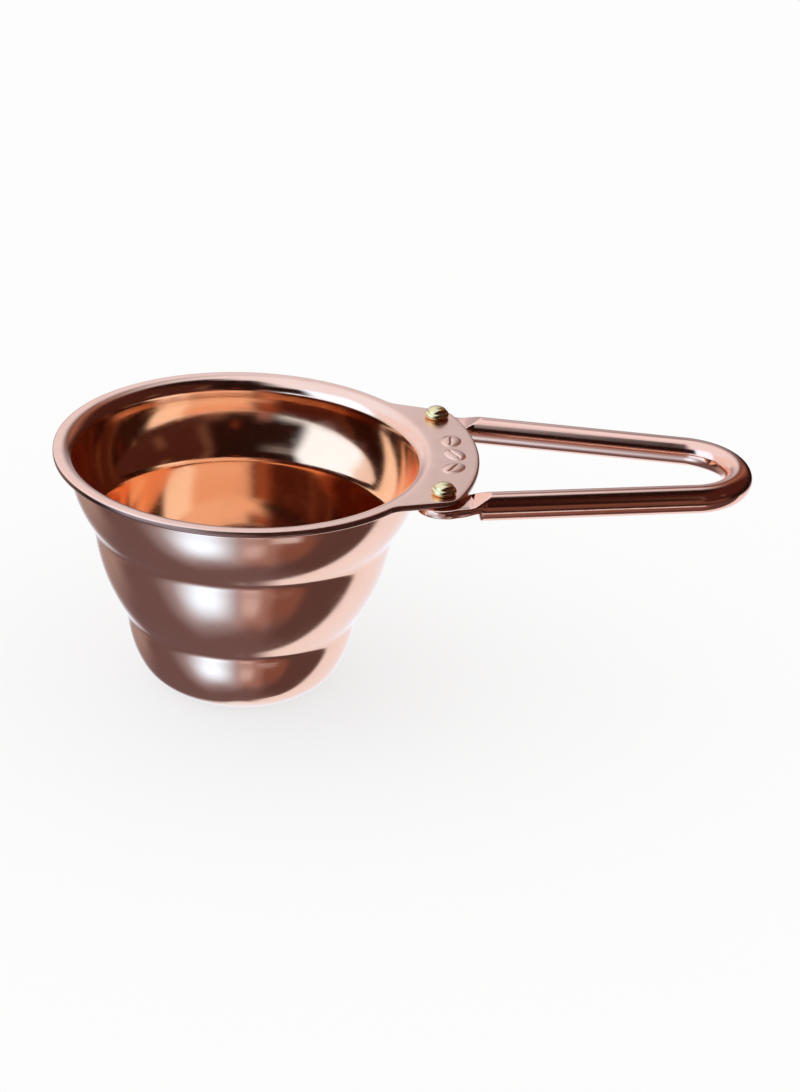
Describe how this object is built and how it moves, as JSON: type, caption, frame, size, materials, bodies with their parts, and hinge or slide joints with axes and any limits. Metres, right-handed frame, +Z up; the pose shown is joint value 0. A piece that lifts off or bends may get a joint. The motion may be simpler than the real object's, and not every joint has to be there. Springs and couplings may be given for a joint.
{
  "type": "coffee measuring scoop",
  "caption": "Drawn sheet-metal scoop with a tiered round bowl, a flat rim and tab, and a bent-rod loop handle riveted under the tab.",
  "frame": {"origin": "centre of the bowl's flat base, on the surface it stands on", "axes": "+Z up through the open bowl, +X from the bowl's axis out along the handle, +Y to the left of the handle as seen from the bowl"},
  "size_m": [0.104, 0.057, 0.0392],
  "materials": {
    "polished_copper": "steel sheet plated in copper and polished, with a soft sheen on the rim and tab",
    "handle_copper": "solid steel rod plated in copper and polished",
    "rivet_brass": "bright yellow brass"
  },
  "bodies": {
    "root": {"cup": "polished_copper", "handle": "handle_copper", "rivet_left": "rivet_brass", "rivet_right": "rivet_brass"}
  },
  "joints": []
}
